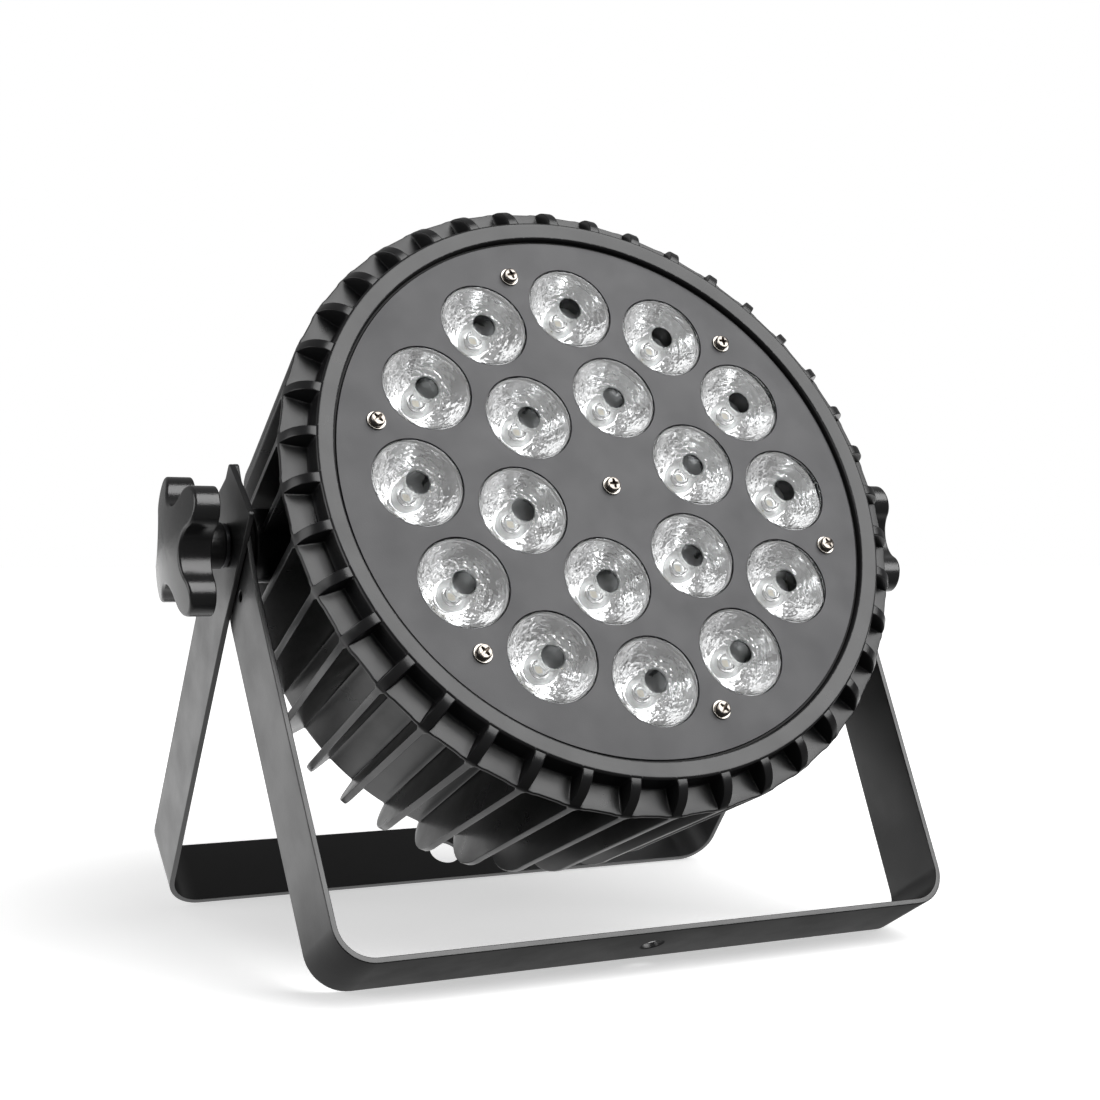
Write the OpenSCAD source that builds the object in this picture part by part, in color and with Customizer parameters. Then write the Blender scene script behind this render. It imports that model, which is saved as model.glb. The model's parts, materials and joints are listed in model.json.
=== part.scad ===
// LED par can: ribbed round lamp head on two U-shaped yokes that share one pivot.
// Stored frame: X along the pivot, -Y towards the beam, +Z up, floor at z = 0.

/* [Pose at rest] */
// Upward tilt of the lamp's axis, degrees
tilt = 26; // [0:0.5:60]
// Forward lean of the front yoke from the vertical, degrees
front_lean = 29.7; // [15:0.1:40]
// Shift of the pivot along Y that centres the whole object over the origin
pivot_y = -6.975; // [-60:0.05:60]

/* [Head] */
// Radius of the flat face plate
plate_r = 103.4; // [90:0.1:120]
// Thickness of the face plate
plate_t = 1.5; // [1:0.1:3]
// Inner radius of the bezel's lip
lip_r = 104.5; // [95:0.1:125]
// Outer radius of the bezel
bezel_r = 111.2; // [100:0.1:130]
// Height of the bezel above the face plate
bezel_h = 2.7; // [1:0.1:6]
// Radius of the flange behind the bezel
flange_r = 121.4; // [105:0.1:140]
// Depth of the flange's back face
flange_back = 8.3; // [6:0.1:14]
// Radius of the body wall between the ribs
body_r = 97; // [80:0.5:110]
// Thickness of the body wall
wall = 3; // [2:0.1:5]
// Depth of the body's rear rim
body_depth = 116; // [90:0.5:150]
// Number of cooling ribs
ribs = 40; // [24:4:60]
// Thickness of a rib
rib_t = 3; // [2:0.1:5]
// Outer radius of a rib at the flange
rib_front_r = 121.8; // [110:0.1:140]
// Outer radius of a rib where its rear rounding starts
rib_back_r = 114.6; // [100:0.1:130]
// Depth where the rear rounding starts
rib_straight = 89; // [60:0.5:110]
// Depth of a rib's rear tip
rib_depth = 119; // [95:0.5:150]
// Depth of the pivot axis behind the face
pivot_depth = 51; // [30:0.5:80]
// Radius of a pivot boss
boss_r = 13; // [10:0.5:18]
// Half width of the head over its pivot bosses
boss_x = 121.4; // [110:0.1:130]

/* [Lenses] */
// Lenses in the outer ring
outer_lenses = 12; // [6:1:18]
// Lenses in the inner ring
inner_lenses = 6; // [3:1:9]
// Pitch radius of the outer ring
outer_ring_r = 75; // [60:0.5:85]
// Pitch radius of the inner ring
inner_ring_r = 38.5; // [30:0.5:50]
// Radius of a lens rim
lens_r = 16.55; // [12:0.05:20]
// Height of a lens from its face to its small end
lens_h = 20.2; // [14:0.1:26]
// Radius of a lens at its small end
lens_end_r = 5.4; // [4:0.1:8]
// Radius of the well in a lens face
lens_well_r = 4.3; // [3:0.1:6]
// Depth of the well in a lens face
lens_well_h = 8; // [4:0.1:12]
// Pitch radius of the face screws
face_screw_r = 89.6; // [80:0.1:98]

/* [Yokes] */
// Width of the yoke strip
strip_w = 30; // [20:0.5:40]
// Thickness of the yoke strip
strip_t = 2; // [1.5:0.1:5]
// Pivot to the outside of the front yoke's bar
front_h = 156.6; // [130:0.1:220]
// Half width of the front yoke at its pivot
front_top_x = 126; // [120:0.1:140]
// Half width of the front yoke at its bar
front_bar_x = 118.6; // [110:0.1:140]
// Pivot to the outside of the rear yoke's bar
rear_h = 168; // [130:0.1:220]
// Half width of the rear yoke at its pivot
rear_top_x = 128.3; // [120:0.1:145]
// Half width of the rear yoke at its bar
rear_bar_x = 125.3; // [110:0.1:145]
// Length of a leg above the pivot
leg_top = 25; // [18:0.5:35]
// Distance below the pivot where a leg starts to toe in
pad_below = 25; // [15:0.5:35]
// Outside radius of a yoke's bends
bend_r = 14; // [6:0.5:25]
// Radius of the hole in the front yoke's bar
front_hole_r = 4.4; // [3:0.05:8]
// Radius of the clamp bolt hole in the rear yoke's bar
rear_hole_r = 6.5; // [4:0.05:8]
// Radius of the lock pin hole in the front yoke's leg
pin_hole_r = 1.9; // [1:0.05:4]
// Distance of the lock pin hole below the pivot
pin_hole_s = 20; // [15:0.5:24]

/* [Clamp knobs] */
// Radius of the pivot stud
stud_r = 4; // [3:0.05:6]
// Radius over a knob's lobes
knob_r = 28.5; // [22:0.5:32]
// Lobes on a knob
knob_lobes = 4; // [4:1:8]
// Height of a knob over its neck, star and dome
knob_t = 19.5; // [16:0.5:26]
// Thickness of a knob's star
knob_star_t = 8.8; // [6:0.5:12]

/* [Rear panel] */
// Radius of the rear cover
cover_r = 93.4; // [80:0.1:100]
// Thickness of the rear cover
cover_t = 2.5; // [1.5:0.1:4]
// Depth of the rear cover's inner face
cover_depth = 112.8; // [90:0.1:140]
// Width of the display window
window_w = 44; // [30:0.5:60]
// Height of the display window
window_h = 18; // [10:0.5:30]
// Radius of a menu button
button_r = 3.6; // [2.5:0.1:6]
// Spacing of the menu buttons
button_gap = 15; // [10:0.5:20]
// Radius of a signal connector's shell
signal_r = 11.6; // [10:0.1:13]

/* [Hidden] */
$fn = 96;
rib_step = 360 / ribs;
pivot_z = front_h * cos(front_lean) + strip_w / 2 * sin(front_lean);
rear_reach = sqrt(rear_h * rear_h + strip_w * strip_w / 4);
rear_lean = acos(pivot_z / rear_reach) + atan(strip_w / 2 / rear_h);
inner_r = body_r - wall;
ledge_z = -plate_t - 0.1;
floor_front = -23.2;
floor_back = -29;
board_top = -21.5;
cover_out = -cover_depth - cover_t;
tail_r = rib_back_r - (body_r - 1);
tail_h = rib_depth - rib_straight;
stack_gap = 0.3;
pad_x = boss_x + 0.1;
pad_t = front_top_x - strip_t - stack_gap - pad_x;
cap_x = rear_top_x + stack_gap;
cap_t = 1.6;
knob_x = cap_x + cap_t + 0.1;
post_r = 4;
outer_angles = [for (k = [0:outer_lenses - 1]) 360 / outer_lenses * k];
inner_angles = [for (k = [0:inner_lenses - 1]) 15 + 360 / inner_lenses * k];
screw_angles = [for (k = [0:5]) 45 + 60 * k];
cover_screw_angles = [for (k = [0:5]) 30 + 60 * k];
leg_angles = [for (k = [0:5]) 45 + 60 * k];
driver_screw_angles = [for (k = [0:3]) 45 + 90 * k];
driver_screw_r = 58;
driver_top = -84;
window_y = 47;
button_y = 24;
power_x = 48;
power_y = -6;
signal_x = 28;
signal_y = -50;
fuse_y = -8;
eye_y = 76;
latch_y = signal_y + 12.6;
supply_spots = [for (x = [-46, 46], y = [-26, 26]) [x, y]];
eye_spots = [[-9, eye_y], [9, eye_y]];
cover_screw_r = cover_r - 5.4;
cover_post_r = 6.6;
board_post_r = 3.5;
thread_hole_r = 1.55;
clear_hole_r = 1.7;
lens_hole_r = lens_r + 0.3;
lens_curve = 0.75;
lens_rim_h = 2.5;
flange_t = 1.8;
shell_back = -100;
behind = -130;
pins = [90, 210, 330];
face_black = [0.13, 0.13, 0.14];
cast_black = [0.10, 0.10, 0.11];
strip_black = [0.12, 0.12, 0.13];
steel = [0.72, 0.71, 0.69];

// a lens's radius at height z below the face
function lens_at(z) =
  lens_end_r + (lens_r - 0.9 - lens_end_r) * pow((lens_h + z) / (lens_h - lens_rim_h), lens_curve);

// where the two screws of a signal socket sit
function signal_screws(x) = [for (d = [-1, 1]) [x + d * 9.5, signal_y + d * 12]];

// ---------------------------------------------------------------- frames
module at_pivot() {
  translate([0, pivot_y, pivot_z]) children();
}

// head frame: z = 0 is the face plate's front, +z out of the lamp, x along the pivot
module head_pose() {
  at_pivot() rotate([90 - tilt, 0, 0]) translate([0, 0, pivot_depth]) children();
}

module ring_of(angles, r) {
  for (a = angles) rotate([0, 0, a]) translate([r, 0, 0]) children();
}

// turns a piece built along +z so that it points out along +x or -x at the pivot
module on_side(side) {
  at_pivot() rotate([0, 90 * side, 0]) children();
}

module plate_at(r, top, bottom) {
  translate([0, 0, bottom]) cylinder(r = r, h = top - bottom);
}

module at_spots(spots) {
  for (spot = spots) translate([spot[0], spot[1], 0]) children();
}

// ---------------------------------------------------------------- yokes
module yoke(h, top_x, bar_x, hole_r) {
  toe = atan((top_x - bar_x) / (h - pad_below));
  turn = 90 - toe;
  cut = bend_r * tan(turn / 2);
  end_s = h - cut * cos(toe);
  end_x = bar_x + cut * sin(toe);
  centre_x = bar_x - cut;
  centre_z = -h + bend_r;
  difference() {
    union() {
      for (side = [-1, 1]) scale([side, 1, 1]) {
        rotate([90, 0, 0]) linear_extrude(height = strip_w, center = true)
          polygon([[top_x, leg_top], [top_x, -pad_below], [end_x, -end_s],
            [end_x - strip_t * cos(toe), -end_s - strip_t * sin(toe)],
            [top_x - strip_t, -pad_below - strip_t * tan(toe / 2)],
            [top_x - strip_t, leg_top]]);
        intersection() {
          translate([centre_x, 0, centre_z]) rotate([90, 0, 0]) difference() {
            cylinder(r = bend_r, h = strip_w, center = true);
            cylinder(r = bend_r - strip_t, h = strip_w + 1, center = true);
          }
          translate([centre_x, 0, centre_z]) rotate([90, 0, 0])
            linear_extrude(height = strip_w, center = true)
              polygon([[0, 0], [0, -2 * bend_r], [2 * bend_r, -2 * bend_r],
                [2 * bend_r * cos(toe), -2 * bend_r * sin(toe)]]);
        }
      }
      translate([0, 0, -h + strip_t / 2])
        cube([2 * centre_x + 0.002, strip_w, strip_t], center = true);
    }
    translate([0, 0, -h - 1]) cylinder(r = hole_r, h = strip_t + 2);
    rotate([0, 90, 0]) cylinder(r = stud_r + 0.08, h = 3 * top_x, center = true);
    children();
  }
}

module front_yoke() {
  color(strip_black) at_pivot() rotate([-front_lean, 0, 0])
    yoke(front_h, front_top_x, front_bar_x, front_hole_r)
      translate([0, 0, -pin_hole_s]) rotate([0, 90, 0])
        cylinder(r = pin_hole_r, h = 3 * front_top_x, center = true);
}

module rear_yoke() {
  color(strip_black) at_pivot() rotate([rear_lean, 0, 0])
    yoke(rear_h, rear_top_x, rear_bar_x, rear_hole_r);
}

// ---------------------------------------------------------------- housing
module rib() {
  nose = [for (i = [0:10]) let (a = 9 * i)
    [bezel_r + (rib_front_r - bezel_r) * sin(a),
      -flange_back + (flange_back + bezel_h + 0.3) * cos(a)]];
  tail = [for (i = [0:10]) let (a = 9 * i)
    [body_r - 1 + tail_r * cos(a), -rib_straight - tail_h * sin(a)]];
  rotate([90, 0, 0]) linear_extrude(height = rib_t, center = true)
    polygon(concat([[bezel_r - 2, 0]], nose, tail, [[body_r - 1, -flange_back]]));
}

module bezel_section() {
  inner_round = 0.8;
  inner_h = 1.2;
  outer_round = 1;
  translate([lip_r, -flange_back]) square([bezel_r - lip_r, flange_back + inner_h]);
  translate([lip_r + inner_round, inner_h]) circle(r = inner_round);
  translate([bezel_r - outer_round, bezel_h - outer_round]) circle(r = outer_round);
  polygon([[lip_r, inner_h], [lip_r + inner_round, inner_h + inner_round],
    [bezel_r - outer_round, bezel_h], [bezel_r, bezel_h - outer_round], [bezel_r, 0], [lip_r, 0]]);
}

module flange() {
  rim = [for (k = [0:ribs - 1]) flange_r * [cos(rib_step * k), sin(rib_step * k)]];
  translate([0, 0, -flange_back]) linear_extrude(height = flange_t) polygon(rim);
}

module housing() {
  color(cast_black) head_pose() difference() {
    union() {
      rotate_extrude() bezel_section();
      plate_at(lip_r + 1, ledge_z, -flange_back);
      flange();
      plate_at(body_r, -flange_back + 1, -body_depth);
      for (k = [0:ribs - 1]) rotate([0, 0, rib_step * k]) rib();
      for (side = [-1, 1]) translate([0, 0, -pivot_depth]) rotate([0, 90 * side, 0])
        translate([0, 0, inner_r + 1]) cylinder(r = boss_r, h = boss_x - inner_r - 1);
    }
    difference() {
      plate_at(inner_r, 1, -body_depth - 1);
      plate_at(inner_r + 1, floor_front, floor_back);
      ring_of(screw_angles, face_screw_r) plate_at(post_r, ledge_z, floor_front - 1);
      plate_at(post_r, ledge_z, floor_front - 1);
      ring_of(cover_screw_angles, cover_screw_r) plate_at(cover_post_r, -96, -cover_depth + 0.1);
      at_spots(supply_spots) plate_at(board_post_r, floor_back + 1, -36);
      ring_of(driver_screw_angles, driver_screw_r) plate_at(board_post_r, floor_back + 1, driver_top);
    }
    ring_of(screw_angles, face_screw_r) plate_at(thread_hole_r, 1, -14);
    plate_at(thread_hole_r, 1, -14);
    ring_of(cover_screw_angles, cover_screw_r) plate_at(2.05, -101, -cover_depth - 1);
    at_spots(supply_spots) plate_at(thread_hole_r, -30, -37);
    ring_of(driver_screw_angles, driver_screw_r) plate_at(thread_hole_r, -76, driver_top - 1);
    for (side = [-1, 1]) translate([0, 0, -pivot_depth]) rotate([0, 90 * side, 0])
      translate([0, 0, 100]) cylinder(r = stud_r + 0.05, h = 30);
  }
}

// ---------------------------------------------------------------- front
module front_plate() {
  color(face_black) head_pose() difference() {
    plate_at(plate_r, 0, -plate_t);
    ring_of(outer_angles, outer_ring_r) plate_at(lens_hole_r, 1, -5);
    ring_of(inner_angles, inner_ring_r) plate_at(lens_hole_r, 1, -5);
    ring_of(screw_angles, face_screw_r) plate_at(clear_hole_r, 1, -5);
    plate_at(clear_hole_r, 1, -5);
  }
}

module gasket() {
  color([0.03, 0.03, 0.03]) head_pose() difference() {
    plate_at(lip_r - 0.05, -0.5, -plate_t);
    plate_at(plate_r + 0.05, 1, -5);
  }
}

module pan_screw(r, head_r, head_h, length) {
  difference() {
    union() {
      translate([0, 0, -length]) cylinder(r = r, h = length + 0.01);
      intersection() {
        cylinder(r = head_r, h = head_h);
        translate([0, 0, head_h - 1.6 * head_r]) sphere(r = 1.6 * head_r);
      }
    }
    for (a = [0, 90]) rotate([0, 0, a]) translate([0, 0, head_h])
      cube([head_r * 1.25, head_r * 0.28, head_h * 1.3], center = true);
  }
}

module face_screw() {
  translate([0, 0, 0.65]) rotate([0, 0, 20]) pan_screw(1.5, 2.75, 2, 12);
}

module face_screws() {
  color(steel) head_pose() {
    ring_of(screw_angles, face_screw_r) face_screw();
    face_screw();
  }
}

module washer(r, hole, t) {
  difference() {
    cylinder(r = r, h = t);
    translate([0, 0, -1]) cylinder(r = hole, h = t + 2);
  }
}

module face_washers() {
  color(steel) head_pose() {
    ring_of(screw_angles, face_screw_r) translate([0, 0, 0.02]) washer(3.5, 1.6, 0.6);
    translate([0, 0, 0.02]) washer(3.5, 1.6, 0.6);
  }
}

module lens() {
  cone = [for (i = [0:8]) let (z = -lens_rim_h - (lens_h - lens_rim_h) * i / 8) [lens_at(z), z]];
  rotate_extrude() polygon(concat([[0, -lens_well_h], [lens_well_r * 0.5, -lens_well_h + 0.25],
    [lens_well_r * 0.85, -lens_well_h + 1.0], [lens_well_r, -0.05], [lens_r, -0.05],
    [lens_r, -lens_rim_h]], cone, [[3.4, -lens_h], [3.2, -lens_h + 3.6], [2.0, -lens_h + 4.6],
    [0, -lens_h + 5]]));
}

module lens_outer(k) {
  color([0.85, 0.88, 0.9, 0.5]) head_pose() ring_of([outer_angles[k]], outer_ring_r) lens();
}

module lens_inner(k) {
  color([0.85, 0.88, 0.9, 0.5]) head_pose() ring_of([inner_angles[k]], inner_ring_r) lens();
}

module lens_carrier() {
  hole = lens_at(-6) + 0.35;
  color([0.06, 0.06, 0.065]) head_pose() difference() {
    union() {
      plate_at(inner_r - 1, -6, -8);
      ring_of(leg_angles, 56) plate_at(3, -7, board_top + 0.1);
    }
    ring_of(outer_angles, outer_ring_r) plate_at(hole, 1, -30);
    ring_of(inner_angles, inner_ring_r) plate_at(hole, 1, -30);
    ring_of(screw_angles, face_screw_r) plate_at(post_r + 0.6, 1, -30);
    plate_at(post_r + 0.6, 1, -30);
  }
}

module led_board() {
  color([0.82, 0.83, 0.82]) head_pose() difference() {
    plate_at(inner_r - 1, board_top, board_top - 1.6);
    ring_of(screw_angles, face_screw_r) plate_at(post_r + 0.6, 1, -30);
    plate_at(post_r + 0.6, 1, -30);
    translate([0, 60, 0]) plate_at(4, 1, -30);
  }
}

module led_emitters() {
  color([0.93, 0.86, 0.5]) head_pose() {
    ring_of(outer_angles, outer_ring_r) emitter();
    ring_of(inner_angles, inner_ring_r) emitter();
  }
}

module emitter() {
  translate([0, 0, board_top + 0.55]) cube([4.6, 4.6, 1], center = true);
  translate([0, 0, board_top + 1.0]) intersection() {
    sphere(r = 2.2);
    cylinder(r = 3, h = 3);
  }
}

// ---------------------------------------------------------------- inside
module driver_board() {
  color([0.05, 0.3, 0.15]) head_pose() {
    difference() {
      plate_at(66, driver_top, driver_top - 1.6);
      ring_of(driver_screw_angles, driver_screw_r) plate_at(clear_hole_r, -80, -90);
      translate([0, -60, 0]) plate_at(8, -80, -90);
    }
    for (x = [-36, -12, 12, 36]) translate([x, 18, -83]) cube([13, 13, 2.2], center = true);
    for (x = [-30, 0, 30]) translate([x, -14, -84.02]) cylinder(r = 6, h = 10);
    translate([0, 44, -82]) cube([36, 9, 4.1], center = true);
  }
}

module power_supply() {
  color([0.6, 0.61, 0.62]) head_pose() difference() {
    union() {
      translate([0, 0, -54]) cube([104, 44, 32], center = true);
      translate([0, 0, -37.1]) cube([104, 64, 1.8], center = true);
    }
    at_spots(supply_spots) plate_at(clear_hole_r, -30, -44);
    for (x = [-40:10:40]) translate([x, 0, -70]) cube([5, 30, 2.4], center = true);
  }
}

module inner_screw() {
  rotate([180, 0, 0]) pan_screw(1.5, 2.75, 2, 6.4);
}

module inner_screws() {
  color(steel) head_pose() {
    translate([0, 0, -38.1]) at_spots(supply_spots) inner_screw();
    ring_of(driver_screw_angles, driver_screw_r) translate([0, 0, driver_top - 1.7]) inner_screw();
  }
}

// ---------------------------------------------------------------- rear panel
module button_spot(k) {
  translate([(k - 1.5) * button_gap, button_y, 0]) children();
}

module rear_cover() {
  color(face_black) head_pose() difference() {
    union() {
      plate_at(cover_r, -cover_depth, cover_out);
      for (x = [-29, 29], y = [18, 54]) translate([x, y, 0]) plate_at(2.4, -103.8, -cover_depth - 1);
    }
    ring_of(cover_screw_angles, cover_screw_r) plate_at(2.2, shell_back, behind);
    translate([0, window_y, -114]) cube([window_w - 3, window_h - 3, 8], center = true);
    for (k = [0:3]) button_spot(k) plate_at(button_r + 0.3, shell_back, behind);
    at_spots([[-signal_x, signal_y], [signal_x, signal_y]]) plate_at(signal_r + 0.3, shell_back, behind);
    for (x = [-power_x, power_x]) translate([x, power_y, -114]) cube([27.6, 20.6, 8], center = true);
    translate([0, fuse_y, 0]) plate_at(6.6, shell_back, behind);
    at_spots(eye_spots) plate_at(2.2, shell_back, behind);
    for (x = [-signal_x, signal_x]) at_spots(signal_screws(x)) plate_at(1.45, shell_back, behind);
    translate([signal_x, latch_y, -114]) cube([7, 5.4, 8], center = true);
  }
}

module rear_cover_screws() {
  color(steel) head_pose() ring_of(cover_screw_angles, cover_screw_r)
    translate([0, 0, cover_out - 0.05]) rotate([180, 0, 0]) pan_screw(2, 3.9, 2.4, 12);
}

module display_window() {
  color([0.03, 0.04, 0.06]) head_pose() translate([0, window_y, cover_out - 0.65])
    cube([window_w, window_h, 1.2], center = true);
}

module display_board() {
  color([0.05, 0.3, 0.15]) head_pose() {
    translate([0, 36, -103]) cube([66, 44, 1.6], center = true);
    translate([0, window_y, -107.5]) cube([window_w - 6, window_h - 5, 7.6], center = true);
    for (k = [0:3]) button_spot(k) translate([0, 0, -104.8]) cube([6, 6, 2.2], center = true);
  }
}

module menu_button(k) {
  color([0.05, 0.05, 0.055]) head_pose() button_spot(k) {
    plate_at(button_r, -109.2, cover_out - 1.9);
    plate_at(button_r + 1.1, -108.4, -109.6);
  }
}

module signal_flange(x) {
  difference() {
    translate([x, signal_y, cover_out - 1.05]) cube([26, 31, 2], center = true);
    at_spots(signal_screws(x)) plate_at(1.6, shell_back, behind);
  }
}

module signal_in() {
  color([0.05, 0.05, 0.055]) head_pose() {
    difference() {
      union() {
        signal_flange(-signal_x);
        translate([-signal_x, signal_y, 0]) plate_at(signal_r, -96, cover_out - 2);
      }
      translate([-signal_x, signal_y, 0]) plate_at(9.6, shell_back - 1, behind);
    }
    translate([-signal_x, signal_y, 0]) ring_of(pins, 3.6) plate_at(1.2, shell_back, -110.3);
  }
}

module signal_out() {
  color([0.05, 0.05, 0.055]) head_pose() difference() {
    union() {
      signal_flange(signal_x);
      translate([signal_x, signal_y, 0]) plate_at(signal_r, -96, cover_out - 2);
      translate([signal_x, signal_y, 0]) plate_at(10.4, cover_out - 1, cover_out - 4);
    }
    translate([signal_x, signal_y, 0]) difference() {
      plate_at(9, shell_back + 1, behind);
      plate_at(6.8, shell_back + 2, cover_out - 2.5);
    }
    translate([signal_x, signal_y, 0]) ring_of(pins, 3.6) plate_at(1.4, shell_back, behind);
    translate([signal_x, latch_y, -117]) cube([7, 5.4, 18], center = true);
  }
}

module signal_latch() {
  color([0.55, 0.56, 0.58]) head_pose() translate([signal_x, latch_y + 0.1, -115.6])
    cube([6.2, 4.4, 5.2], center = true);
}

module power_in() {
  color([0.05, 0.05, 0.055]) head_pose() translate([-power_x, power_y, 0]) {
    difference() {
      union() {
        translate([0, 0, cover_out - 1.05]) cube([32, 26, 2], center = true);
        translate([0, 0, -106]) cube([27, 20, 22], center = true);
      }
      translate([0, 0, -112]) cube([24, 16.6, 20], center = true);
    }
    for (x = [-7, 0, 7]) translate([x, x == 0 ? 2.4 : -1.6, -106]) cube([1.8, 3.8, 8.6], center = true);
  }
}

module power_out() {
  color([0.05, 0.05, 0.055]) head_pose() translate([power_x, power_y, 0]) difference() {
    union() {
      translate([0, 0, cover_out - 1.05]) cube([32, 26, 2], center = true);
      translate([0, 0, -107]) cube([27, 20, 20], center = true);
    }
    for (x = [-7, 0, 7]) translate([x, x == 0 ? 2.4 : -1.6, -112]) cube([2.4, 4.6, 20], center = true);
  }
}

module socket_screws() {
  color(steel) head_pose() for (x = [-signal_x, signal_x])
    translate([0, 0, cover_out - 2.1]) at_spots(signal_screws(x))
      rotate([180, 0, 0]) pan_screw(1.4, 2.6, 1.6, 8);
}

module fuse_holder() {
  color([0.05, 0.05, 0.055]) head_pose() translate([0, fuse_y, 0]) difference() {
    union() {
      plate_at(6.3, -88, cover_out - 1);
      plate_at(8.5, cover_out - 0.05, cover_out - 2.5);
    }
    plate_at(4.6, -92, behind);
  }
}

module fuse_cap() {
  color([0.05, 0.05, 0.055]) head_pose() translate([0, fuse_y, 0]) difference() {
    union() {
      plate_at(4.5, -94, cover_out - 3);
      plate_at(7.2, cover_out - 2.8, cover_out - 8);
    }
    translate([0, 0, cover_out - 8]) cube([10, 1.6, 3], center = true);
  }
}

module safety_eye() {
  color([0.2, 0.2, 0.21]) head_pose() translate([0, 0, cover_out - 0.05]) {
    difference() {
      translate([0, eye_y, -1]) cube([28, 12, 2], center = true);
      at_spots(eye_spots) plate_at(2.1, 1, -5);
    }
    translate([0, eye_y, 0]) difference() {
      translate([0, 0, -9]) cube([12, 3, 15], center = true);
      translate([0, 0, -10.2]) rotate([90, 0, 0]) cylinder(r = 4, h = 10, center = true);
    }
  }
}

// ---------------------------------------------------------------- pivot hardware
module pivot_stud(side) {
  color(steel) on_side(side) translate([0, 0, 102]) cylinder(r = stud_r, h = 39);
}

module friction_pad(side) {
  color([0.07, 0.07, 0.07]) on_side(side) translate([0, 0, pad_x]) washer(12.5, stud_r + 0.1, pad_t);
}

module clamp_washer(side) {
  color(steel) on_side(side) translate([0, 0, cap_x]) washer(7.8, stud_r + 0.1, cap_t);
}

// a star outline: broad round lobes with hollows between them
module knob_outline(lobe_r, hollow_r, hollow_at) {
  step = 360 / knob_lobes;
  difference() {
    union() {
      circle(r = knob_r - lobe_r);
      for (k = [0:knob_lobes - 1]) rotate(step * (k + 0.5)) translate([knob_r - lobe_r, 0])
        circle(r = lobe_r);
    }
    for (k = [0:knob_lobes - 1]) rotate(step * k) translate([hollow_at, 0])
      circle(r = hollow_r);
  }
}

module knob(side) {
  lobe_r = 7.5;
  hollow_r = 8.6;
  hollow_at = 21.1;
  turned = side < 0 ? -7 : -16;
  neck_r = 8.2;
  dome_r = 13;
  dome_h = 3.7;
  overlap = 1;
  bore_h = 13;
  neck_h = knob_t - knob_star_t - dome_h;
  color([0.06, 0.06, 0.065]) on_side(side) translate([0, 0, knob_x]) difference() {
    union() {
      cylinder(r = neck_r, h = neck_h + overlap);
      translate([0, 0, neck_h]) rotate([0, 0, turned]) linear_extrude(height = knob_star_t)
        knob_outline(lobe_r, hollow_r, hollow_at);
      translate([0, 0, knob_t - dome_h - overlap]) cylinder(r = dome_r, h = dome_h + overlap);
    }
    translate([0, 0, -overlap]) cylinder(r = stud_r + 0.05, h = bore_h + overlap);
  }
}

front_yoke();
rear_yoke();
housing();
front_plate();
gasket();
face_screws();
face_washers();
lens_carrier();
lens_inner(0);  // lens_inner_1
lens_inner(1);  // lens_inner_2
lens_inner(2);  // lens_inner_3
lens_inner(3);  // lens_inner_4
lens_inner(4);  // lens_inner_5
lens_inner(5);  // lens_inner_6
lens_outer(0);  // lens_outer_1
lens_outer(1);  // lens_outer_2
lens_outer(2);  // lens_outer_3
lens_outer(3);  // lens_outer_4
lens_outer(4);  // lens_outer_5
lens_outer(5);  // lens_outer_6
lens_outer(6);  // lens_outer_7
lens_outer(7);  // lens_outer_8
lens_outer(8);  // lens_outer_9
lens_outer(9);  // lens_outer_10
lens_outer(10);  // lens_outer_11
lens_outer(11);  // lens_outer_12
led_board();
led_emitters();
driver_board();
power_supply();
inner_screws();
rear_cover();
rear_cover_screws();
display_window();
display_board();
menu_button(0);  // menu_button_1
menu_button(1);  // menu_button_2
menu_button(2);  // menu_button_3
menu_button(3);  // menu_button_4
signal_in();
signal_out();
signal_latch();
power_in();
power_out();
socket_screws();
fuse_holder();
fuse_cap();
safety_eye();
pivot_stud(-1);  // pivot_stud_left
pivot_stud(1);  // pivot_stud_right
friction_pad(-1);  // friction_pad_left
friction_pad(1);  // friction_pad_right
clamp_washer(-1);  // clamp_washer_left
clamp_washer(1);  // clamp_washer_right
knob(-1);  // knob_left
knob(1);  // knob_right
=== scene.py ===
import json
import math
import random

import bmesh
import bpy
from mathutils import Matrix, Vector, noise as field


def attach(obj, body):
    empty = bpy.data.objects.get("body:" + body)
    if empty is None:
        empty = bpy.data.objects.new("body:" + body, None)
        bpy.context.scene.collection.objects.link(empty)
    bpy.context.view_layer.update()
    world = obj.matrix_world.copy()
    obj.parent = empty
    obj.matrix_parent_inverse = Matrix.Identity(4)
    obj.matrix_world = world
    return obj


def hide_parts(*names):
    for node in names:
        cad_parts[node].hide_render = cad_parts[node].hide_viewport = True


# An LED par can: a ribbed lamp head on two U-shaped yokes. Pieces are drawn in millimetres in
# their own frames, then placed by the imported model's pivot, tilt and lean.

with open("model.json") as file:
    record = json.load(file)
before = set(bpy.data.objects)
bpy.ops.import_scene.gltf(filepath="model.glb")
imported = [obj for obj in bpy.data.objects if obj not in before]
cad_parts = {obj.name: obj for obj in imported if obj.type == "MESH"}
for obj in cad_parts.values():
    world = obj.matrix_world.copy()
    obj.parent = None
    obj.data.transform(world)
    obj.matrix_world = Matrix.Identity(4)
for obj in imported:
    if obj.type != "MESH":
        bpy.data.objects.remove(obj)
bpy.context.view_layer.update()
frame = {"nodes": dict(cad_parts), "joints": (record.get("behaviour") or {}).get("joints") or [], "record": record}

MM = 0.001
JOINTS = {joint["name"]: joint for joint in frame["joints"]}
MOUNTS = {mount["name"]: mount for mount in frame["record"]["mounts"]}
PIVOT = Vector(JOINTS["head_tilt"]["pos_m"])

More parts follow.
